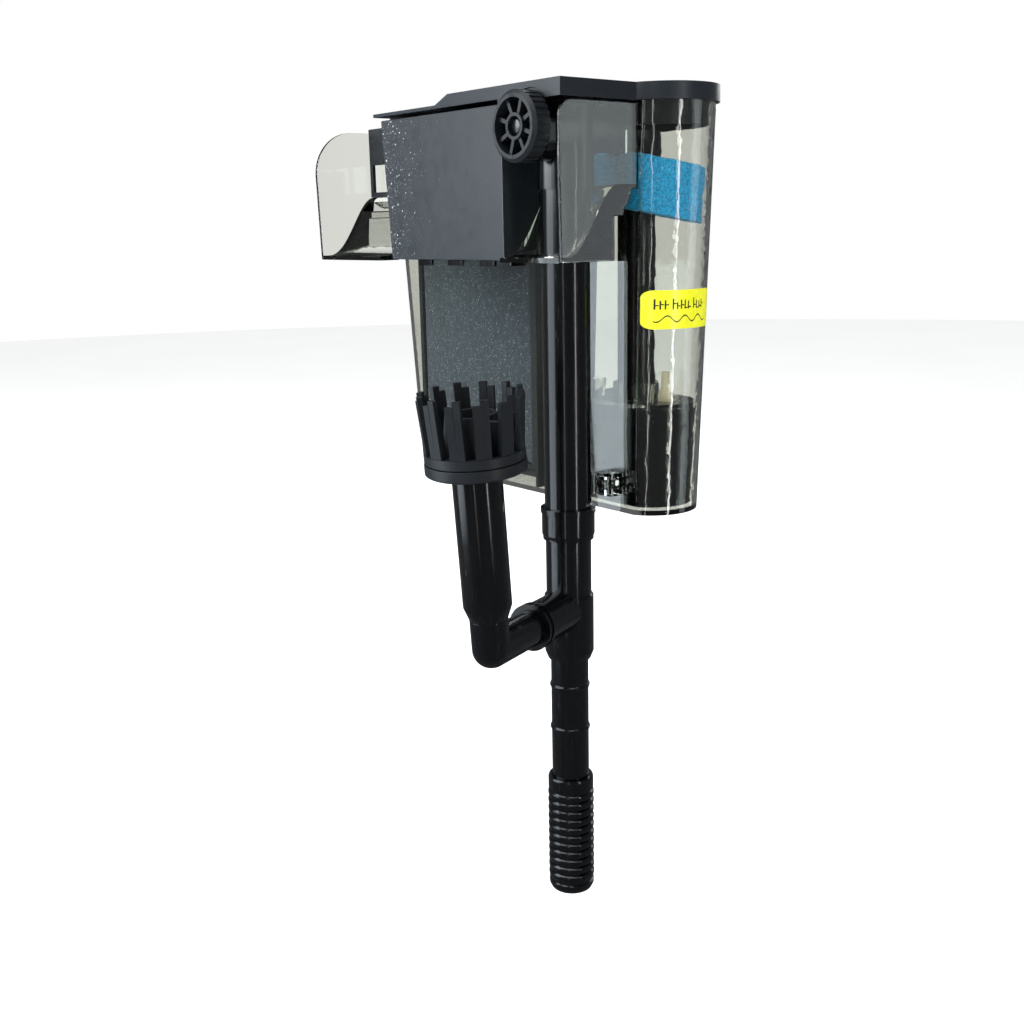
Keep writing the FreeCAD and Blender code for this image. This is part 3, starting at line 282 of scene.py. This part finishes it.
def gloss_plastic(name, dark, light):
    """Extruded tube: polished, with faint draw lines along its length and hairline scuffs."""
    finish = Finish(name, Specular_IOR_Level=0.42)
    draw = finish.noise(420, 3, (1, 1, 0.02))
    finish.colour(finish.blend(finish.spread(draw, 0.3, 0.7), dark, light))
    scuff = finish.spread(finish.noise(900, 2, (1, 1, 0.12)), 0.62, 0.74)
    base = finish.spread(finish.noise(60, 3), 0.3, 0.7, 0.12, 0.19)
    finish.rough(finish.sum(base, finish.sum(scuff, 0.16, "MULTIPLY")))
    finish.bump(draw, 0.03 * MM, 0.35)
    finish.bump(finish.noise(45, 2), 0.35 * MM, 0.25)
    return finish.material


def clear_plastic(name, tint, edge_tint, roughness):
    """Smoke-tinted clear moulding: faint flow ripples, water haze, and light passes for lamps."""
    finish = Finish(name, Transmission_Weight=1.0, IOR=1.49, Specular_IOR_Level=0.5)
    flow = finish.noise(26, 3, (1, 1, 0.25))
    finish.colour(finish.blend(finish.spread(flow, 0.25, 0.75), tint, edge_tint))
    haze = finish.spread(finish.noise(140, 4), 0.55, 0.80)
    finish.rough(finish.sum(roughness, finish.sum(haze, 0.05, "MULTIPLY")))
    finish.bump(finish.noise(14, 2, (1, 1, 0.06)), 0.4 * MM, 0.10)
    passing = finish.add("ShaderNodeBsdfTransparent", Color=tone(0.82, 0.84, 0.81))
    path = finish.add("ShaderNodeLightPath")
    finish.show(path.outputs["Is Shadow Ray"], finish.shader.outputs[0], passing.outputs[0])
    return finish.material


def foam(name, deep, body, painted_glint, cell, depth):
    """Open-cell foam: painted shade in the pores, painted light on the struts and a few painted glints."""
    finish = Finish(name, roughness=0.55, Sheen_Weight=0.15)
    pores = finish.cells(cell)
    # The deep colour is painted shade in the pores; the body colour on the struts is painted light. The bump
    # gives the pores their real depth.
    pore_shade_mask = finish.spread(pores, 0.15, 0.62)
    shade = finish.blend(pore_shade_mask, deep, body)
    # Painted glint: scattered spots of pale colour.
    painted_glint_mask = finish.spread(finish.noise(cell * 1.7, 2), 0.64, 0.74)
    finish.colour(finish.blend(painted_glint_mask, shade, painted_glint))
    finish.rough(finish.spread(finish.noise(cell * 0.9, 2), 0.35, 0.65, 0.25, 0.8))
    finish.bump(pores, depth)
    return finish.material


def felt(name, dark, light, fleck):
    """Carbon-loaded pad: tangled fibres with pale flecks."""
    finish = Finish(name, roughness=0.9, Sheen_Weight=0.3)
    fibre = finish.noise(900, 4, (1, 1, 0.35))
    cross = finish.noise(1100, 3, (0.35, 1, 1))
    weave = finish.sum(fibre, cross, "MAXIMUM")
    mottle = finish.spread(finish.noise(55, 4), 0.3, 0.7)
    body = finish.blend(finish.spread(weave, 0.42, 0.68), dark, light)
    body = finish.blend(finish.sum(mottle, 0.35, "MULTIPLY"), body, dark)
    flecks = finish.spread(finish.cells(760), 0.19, 0.10)
    finish.colour(finish.blend(flecks, body, fleck))
    finish.bump(weave, 0.35 * MM)
    finish.bump(flecks, 0.15 * MM, 0.6)
    return finish.material


def plain_moulding(name, dark, light, roughness=(0.35, 0.5)):
    """Small moulded piece: cloudy colour, fine grain."""
    finish = Finish(name)
    finish.colour(finish.blend(finish.spread(finish.noise(120, 4), 0.3, 0.7), dark, light))
    finish.rough(finish.spread(finish.noise(340, 3), 0.3, 0.7, *roughness))
    finish.bump(finish.noise(2400, 2), 0.03 * MM, 0.5)
    return finish.material


def metal(name, dark, light, stretch, roughness=(0.28, 0.45)):
    """Bare metal with fine lines drawn along one axis."""
    finish = Finish(name, Metallic=1.0)
    line = finish.noise(2200, 3, stretch)
    finish.colour(finish.blend(finish.spread(line, 0.3, 0.7), dark, light))
    finish.rough(finish.spread(line, 0.3, 0.7, *roughness))
    finish.bump(line, 0.03 * MM, 0.6)
    return finish.material


SATIN_BLACK = satin_plastic("satin_black_plastic", tone(0.0070, 0.0088, 0.0108), tone(0.0105, 0.0130, 0.0160))
WET_BLACK = wet_plastic("wet_black_plastic", tone(0.0085, 0.0118, 0.0150), tone(0.0135, 0.0175, 0.0215))
LID_BLACK = satin_plastic("satin_lid_plastic", tone(0.0125, 0.0158, 0.0200), tone(0.0185, 0.0228, 0.0280),
                          (0.28, 0.38))
GLOSS_BLACK = gloss_plastic("gloss_black_plastic", tone(0.0008, 0.0011, 0.0015), tone(0.0020, 0.0026, 0.0033))
CLEAR = clear_plastic("clear_smoke_plastic", tone(0.70, 0.715, 0.665), tone(0.75, 0.76, 0.71), 0.02)
FILM_YELLOW = plain_moulding("yellow_film", tone(0.82, 0.83, 0.015), tone(0.90, 0.90, 0.035), (0.18, 0.30))
INK_BLACK = plain_moulding("black_ink", tone(0.010, 0.010, 0.008), tone(0.022, 0.022, 0.018), (0.35, 0.5))
# Foam colours, in order: painted shade in the pores, the foam's colour on the lit struts, and a painted
# glint.
BLUE_FOAM = foam("blue_open_foam", tone(0.0, 0.22, 0.50), tone(0.004, 0.46, 0.95), tone(0.55, 0.92, 1.0),
                 900, 0.35 * MM)
BLACK_FOAM = foam("black_open_foam", tone(0.004, 0.004, 0.005), tone(0.022, 0.022, 0.024),
                  tone(0.06, 0.06, 0.065), 380, 0.8 * MM)
CARBON_FELT = felt("carbon_felt", tone(0.016, 0.026, 0.044), tone(0.034, 0.050, 0.076),
                   tone(0.55, 0.62, 0.68))
CREAM = plain_moulding("cream_plastic", tone(0.66, 0.58, 0.42), tone(0.78, 0.71, 0.56))
WHITE = plain_moulding("white_acetal", tone(0.62, 0.64, 0.65), tone(0.74, 0.76, 0.77))
RUBBER = plain_moulding("black_rubber", tone(0.012, 0.012, 0.012), tone(0.024, 0.024, 0.024), (0.6, 0.8))
CERAMIC = plain_moulding("fired_ceramic", tone(0.62, 0.55, 0.44), tone(0.80, 0.76, 0.68), (0.7, 0.9))
MAGNET = plain_moulding("ferrite_magnet", tone(0.035, 0.034, 0.036), tone(0.07, 0.068, 0.07), (0.4, 0.6))
CORE_STEEL = metal("laminated_steel", tone(0.14, 0.14, 0.145), tone(0.34, 0.34, 0.35), (0.02, 0.02, 1))
COPPER = metal("enamelled_copper", tone(0.45, 0.18, 0.07), tone(0.80, 0.38, 0.18), (0.02, 0.02, 1))

# Node: (material, rounding of its edges in millimetres).
LOOKS = {
    "reservoir_tub": (CLEAR, 0.5),
    "partition_plate": (SATIN_BLACK, 0.2),
    "spout_chute": (CLEAR, 0.4),
    "left_wing": (CLEAR, 0.6),
    "right_wing": (CLEAR, 0.6),
    "weir_frame": (SATIN_BLACK, 0.25),
    "outlet_box": (WET_BLACK, 0.5),
    "outlet_grille": (SATIN_BLACK, 0.2),
    "outlet_box_tabs": (GLOSS_BLACK, 0.35),
    "intake_bridge": (GLOSS_BLACK, 0.4),
    "stem_seal": (RUBBER, 0),
    "main_tube": (GLOSS_BLACK, 0.25),
    "tube_coupler": (GLOSS_BLACK, 0.3),
    "mid_tube": (GLOSS_BLACK, 0.25),
    "skimmer_tee": (GLOSS_BLACK, 0.35),
    "down_pipe": (GLOSS_BLACK, 0.25),
    "motor_housing": (GLOSS_BLACK, 0.5),
    "stator_core": (CORE_STEEL, 0.15),
    "stator_coil": (COPPER, 0.3),
    "impeller_cover": (CLEAR, 0.2),
    "bleed_nozzle": (CREAM, 0.2),
    "shaft_bushes": (RUBBER, 0.15),
    "ceramic_shaft": (CERAMIC, 0.1),
    "cord_gland": (RUBBER, 0.3),
    "media_grid": (SATIN_BLACK, 0.25),
    "cartridge_frame": (SATIN_BLACK, 0.3),
    "ceramic_rings": (CERAMIC, 0.35),
    "foot_guide": (CLEAR, 0.3),
    "lid": (LID_BLACK, 0.6),
    "lid_inner_skirt": (SATIN_BLACK, 0.2),
    "flow_knob": (SATIN_BLACK, 0.2),
    "valve_stem": (GLOSS_BLACK, 0.2),
    "valve_plug": (WHITE, 0.25),
    # The knob screw is black as painted shade: it stands for the shade inside the knob's bored hub.
    "knob_screw": (GLOSS_BLACK, 0.15),
    "rotor_magnet": (MAGNET, 0.2),
    "impeller": (WHITE, 0.15),
    "lower_tube": (GLOSS_BLACK, 0.2),
    "strainer": (GLOSS_BLACK, 0.2),
    "skimmer_elbow": (GLOSS_BLACK, 0.3),
    "riser_tube": (GLOSS_BLACK, 0.3),
    "skimmer_cup": (SATIN_BLACK, 0.3),
    "skimmer_crown": (SATIN_BLACK, 0.3),
    "skimmer_vanes": (SATIN_BLACK, 0.2),
    "skimmer_float": (SATIN_BLACK, 0.25),
    "levelling_foot": (CLEAR, 0.3),
}


def finished(node, material, edge):
    """A CAD node's own shape with its edges rounded and its curves shaded smooth."""
    piece = merged_copy(node, node + "_finished")
    if edge:
        apply_modifier(piece, "edges", "BEVEL", width=edge * MM, segments=2, limit_method="ANGLE",
                       angle_limit=EDGE_ANGLE, use_clamp_overlap=True, harden_normals=False)
    smooth(piece)
    apply_modifier(piece, "true_normals", "WEIGHTED_NORMAL", keep_sharp=True)
    stands_for(piece, node, material)
    return piece


finished_pieces = [finished(node, material, edge) for node, (material, edge) in LOOKS.items()]
clear_pieces = [piece for piece in finished_pieces if piece.data.materials[0] == CLEAR]


# ---------------------------------------------------------------- foam and felt
def foam_block(node, name, material, voxel, pore, depth):
    """A soft block: the CAD solid remeshed finely, then eaten into open cells all over."""
    piece = merged_copy(node, name)
    apply_modifier(piece, "soft_grid", "REMESH", mode="VOXEL", voxel_size=voxel)
    apply_modifier(piece, "soft_corners", "SMOOTH", factor=0.6, iterations=6)
    pores = bpy.data.textures.new(name + "_pores", "VORONOI")
    pores.noise_scale = pore
    pores.distance_metric = "DISTANCE"
    apply_modifier(piece, "cells", "DISPLACE", texture=pores, texture_coords="LOCAL",
                   strength=depth, mid_level=0.75)
    swell = bpy.data.textures.new(name + "_swell", "CLOUDS")
    swell.noise_scale = 14 * MM
    apply_modifier(piece, "uneven", "DISPLACE", texture=swell, texture_coords="LOCAL",
                   strength=0.8 * MM, mid_level=0.75)
    smooth(piece, 180)
    stands_for(piece, node, material)


foam_block("blue_sponge", "blue_foam_block", BLUE_FOAM, 0.7 * MM, 2.0 * MM, 0.7 * MM)
foam_block("coarse_sponge", "coarse_foam_block", BLACK_FOAM, 1.3 * MM, 4.0 * MM, 1.6 * MM)


def felt_pad():
    """The cartridge's pad: thinner towards its rim, a little crowned, with a fluffy face."""
    low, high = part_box("cartridge_pad")
    piece = merged_copy("cartridge_pad", "cartridge_felt")
    apply_modifier(piece, "felt_grid", "REMESH", mode="VOXEL", voxel_size=1.0 * MM)
    centre = (low + high) / 2
    half = (high - low) / 2
    for vertex in piece.data.vertices:
        across = (vertex.co.x - centre.x) / half.x
        along = (vertex.co.z - centre.z) / half.z
        crown = (1 - across ** 6) * (1 - along ** 6)
        deep = (vertex.co.y - centre.y) / half.y
        vertex.co.y = centre.y + half.y * deep * (0.72 + 0.28 * crown)
    fluff = bpy.data.textures.new("felt_fluff", "CLOUDS")
    fluff.noise_scale = 2.4 * MM
    apply_modifier(piece, "fluff", "DISPLACE", texture=fluff, texture_coords="LOCAL",
                   strength=0.5 * MM, mid_level=0.8)
    smooth(piece, 180)
    stands_for(piece, "cartridge_pad", CARBON_FELT)


felt_pad()


# ---------------------------------------------------------------- printed label
def strip(across, up, wide, tall, columns):
    """A flat strip in the YZ plane, cut into columns so that it can follow a curved face."""
    bpy.ops.mesh.primitive_grid_add(x_subdivisions=columns, y_subdivisions=1, size=1)
    piece = bpy.context.object
    piece.rotation_euler = (math.radians(90), 0, math.radians(90))
    piece.scale = (wide, tall, 1)
    piece.location = (STROKE_START_X, across, up)
    return settle(piece)


def label_film(low, high):
    """Yellow film that follows the lobe, with its four corners rounded."""
    film = merged_copy("level_label", "level_film")
    bpy.ops.mesh.primitive_plane_add(size=1, location=(low + high) / 2, rotation=(0, math.radians(90), 0))
    cutter = bpy.context.object
    cutter.scale = (high.z - low.z, high.y - low.y, 1)
    settle(cutter)
    apply_modifier(cutter, "round", "BEVEL", affect="VERTICES", width=3.2 * MM, segments=6)
    apply_modifier(cutter, "deep", "SOLIDIFY", thickness=80 * MM, offset=0)
    apply_modifier(film, "corners", "BOOLEAN", operation="INTERSECT", object=cutter, solver="EXACT")
    bpy.data.objects.remove(cutter)
    smooth(film)
    stands_for(film, "level_label", FILM_YELLOW)
    return film


def label_print(film, low, high):
    """Three groups of plain strokes over a wavy line, laid on the film."""
    start = low.y + 3.6 * MM
    base = high.z - 8.6 * MM
    letter_gap = 1.9 * MM
    word_gap = 1.3 * MM
    chance = random.Random(5)
    strokes = []
    spot = start
    for letters in (3, 5, 4):
        for letter in range(letters):
            tall = (4.8 if letter == 0 else 3.0 + 1.2 * chance.random()) * MM
            strokes.append(strip(spot, base + tall / 2, 0.62 * MM, tall, 1))
            foot = base + (0.3 + 2.4 * chance.random()) * MM
            strokes.append(strip(spot + 0.75 * MM, foot, 1.3 * MM, 0.55 * MM, 2))
            spot += letter_gap
        spot += word_gap
    wave_height = 1.4 * MM
    wave_length = 1.3 * MM
    wave = strip(start + 13 * MM, low.z + 4.6 * MM, 27 * MM, 0.6 * MM, 90)
    for vertex in wave.data.vertices:
        vertex.co.z += wave_height * math.sin((vertex.co.y - start) / wave_length - 2.0)
    ink = join(strokes + [wave], "label_print")
    apply_modifier(ink, "on_film", "SHRINKWRAP", target=film, wrap_method="PROJECT", use_project_x=True,
                   use_project_y=False, use_project_z=False, use_negative_direction=True,
                   use_positive_direction=True, offset=0.05 * MM)
    goes_with(ink, "level_label", INK_BLACK)


label_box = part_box("level_label")
label_print(label_film(*label_box), *label_box)


# ---------------------------------------------------------------- marks on the knob
def knob_marks():
    """Tally marks on the rim of the knob, one to four, a quarter turn apart."""
    low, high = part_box("flow_knob")
    centre = (low + high) / 2
    radius = (high.x - low.x) / 2 - 2.5 * MM
    mark_size = (1.5 * MM, 0.5 * MM, 0.42 * MM)
    mark_step = 5.2  # degrees
    marks = []
    for count, quarter in enumerate((-90, 0, 90, 180), start=1):
        for i in range(count):
            turn = math.radians(quarter + mark_step * (i - (count - 1) / 2))
            bpy.ops.mesh.primitive_cube_add(size=1, location=(
                centre.x + radius * math.cos(turn), low.y + 0.1 * MM, centre.z + radius * math.sin(turn)))
            bar = bpy.context.object
            bar.scale = mark_size
            bar.rotation_euler = (0, -turn, 0)
            marks.append(settle(bar))
    tally = join(marks, "knob_tally")
    apply_modifier(tally, "edges", "BEVEL", width=0.08 * MM, segments=1)
    goes_with(tally, "flow_knob", SATIN_BLACK)


knob_marks()


# ---------------------------------------------------------------- room, light and camera
def hang(name, data):
    """A new lamp or camera object in the scene."""
    holder = bpy.data.objects.new(name, data)
    bpy.context.scene.collection.objects.link(holder)
    return holder


def only_for(lamp, name, pieces):
    """Keeps a lamp's light to these pieces."""
    group = bpy.data.collections.new(name)
    for piece in pieces:
        group.objects.link(piece)
    lamp.light_linking.receiver_collection = group


def softbox(name, azimuth, elevation, distance, width, height, power, colour=(1, 1, 1)):
    """A rectangular lamp that looks at the middle of the filter."""
    aim = (cad_low + cad_high) / 2
    turn = math.radians(azimuth)
    rise = math.radians(elevation)
    away = Vector((math.sin(turn) * math.cos(rise), -math.cos(turn) * math.cos(rise), math.sin(rise)))
    lamp = bpy.data.lights.new(name, "AREA")
    lamp.shape = "RECTANGLE"
    lamp.size = width
    lamp.size_y = height
    lamp.energy = power
    lamp.color = colour
    holder = hang(name, lamp)
    holder.location = aim + away * distance
    holder.rotation_mode = "QUATERNION"
    holder.rotation_quaternion = away.to_track_quat("Z", "Y")
    return holder


def studio_floor():
    """A pale disc that reflections pass through, with an even wash from above that reaches only it."""
    bpy.ops.mesh.primitive_circle_add(vertices=128, radius=FLOOR_RADIUS, fill_type="NGON",
                                      location=(0, 0, cad_low.z - FLOOR_DROP))
    floor = bpy.context.object
    floor.name = "studio_floor"
    settle(floor)
    finish = Finish("pale_floor", roughness=0.8)
    finish.colour(finish.blend(finish.noise(3, 2), tone(0.80, 0.80, 0.80), tone(0.84, 0.84, 0.84)))
    unseen = finish.add("ShaderNodeBsdfTransparent")
    path = finish.add("ShaderNodeLightPath")
    mirrored = finish.sum(path.outputs["Glossy Depth"], 0.5, "GREATER_THAN")
    finish.show(mirrored, finish.shader.outputs[0], unseen.outputs[0])
    paint(floor, finish.material)

    wash = bpy.data.lights.new("floor_wash", "SUN")
    wash.energy = 3.1
    wash.angle = math.radians(50)
    only_for(hang("floor_wash", wash), "floor_only", [floor])


def studio_air():
    """White where it is seen straight or through clear plastic, dim where it is mirrored or lights."""
    world = bpy.data.worlds.new("studio_air")
    world.use_nodes = True
    tree = world.node_tree
    nodes = tree.nodes
    seen = nodes["Background"]
    seen.inputs["Color"].default_value = tone(1.0, 1.0, 1.0)
    seen.inputs["Strength"].default_value = 1.0
    fill = nodes.new("ShaderNodeBackground")
    fill.inputs["Color"].default_value = tone(0.93, 0.96, 1.0)
    fill.inputs["Strength"].default_value = 0.16
    path = nodes.new("ShaderNodeLightPath")
    bounces = nodes.new("ShaderNodeMath")
    bounces.operation = "ADD"
    straight = nodes.new("ShaderNodeMath")
    straight.operation = "LESS_THAN"
    straight.inputs[1].default_value = 0.5
    mixed = nodes.new("ShaderNodeMixShader")
    for source, target in ((path.outputs["Glossy Depth"], bounces.inputs[0]),
                           (path.outputs["Diffuse Depth"], bounces.inputs[1]),
                           (bounces.outputs[0], straight.inputs[0]),
                           (straight.outputs[0], mixed.inputs[0]),
                           (fill.outputs[0], mixed.inputs[1]),
                           (seen.outputs[0], mixed.inputs[2]),
                           (mixed.outputs[0], nodes["World Output"].inputs["Surface"])):
        tree.links.new(source, target)
    bpy.context.scene.world = world


def camera():
    """The viewing angle: to the right of the front and a little above."""
    spot = Vector((0.49346, -0.38211, -0.00308))
    turn = math.radians(51.08)
    pitch = math.radians(13.38)
    roll = math.radians(-1.21)
    level = Vector((-math.sin(turn), math.cos(turn), 0))
    ahead = level * math.cos(pitch) - Vector((0, 0, math.sin(pitch)))
    right = Vector((math.cos(turn), math.sin(turn), 0))
    up = right.cross(ahead)
    rolled_right = right * math.cos(roll) + up * math.sin(roll)
    rolled_up = up * math.cos(roll) - right * math.sin(roll)
    lens = bpy.data.cameras.new("view_camera")
    lens.sensor_width = 36.0
    lens.lens = 42.37
    lens.clip_start = 0.01
    lens.clip_end = 50.0
    holder = hang("view_camera", lens)
    facing = Matrix((rolled_right, rolled_up, -ahead)).transposed()
    holder.matrix_world = Matrix.Translation(spot) @ facing.to_4x4()
    bpy.context.scene.camera = holder


studio_floor()
studio_air()
# Name, azimuth, elevation, distance, width, height, power, colour.
softbox("key_softbox", -18, 30, 1.25, 1.2, 1.0, 20)
softbox("left_window", -27, 10, 1.1, 0.8, 1.3, 12, (0.80, 0.91, 1.0))
softbox("centre_line", 38, 4, 1.2, 0.035, 1.1, 0.7)
softbox("top_softbox", 20, 80, 1.3, 1.2, 1.2, 14)
softbox("edge_strip", 92, 8, 1.0, 0.06, 0.9, 2.0)
softbox("back_softbox", 200, 30, 1.5, 1.0, 1.0, 10)
only_for(softbox("right_window", 129, 2, 1.0, 0.30, 1.0, 1.5, (0.86, 0.95, 1.0)), "clear_only", clear_pieces)
camera()
bpy.context.scene.view_settings.view_transform = "Standard"
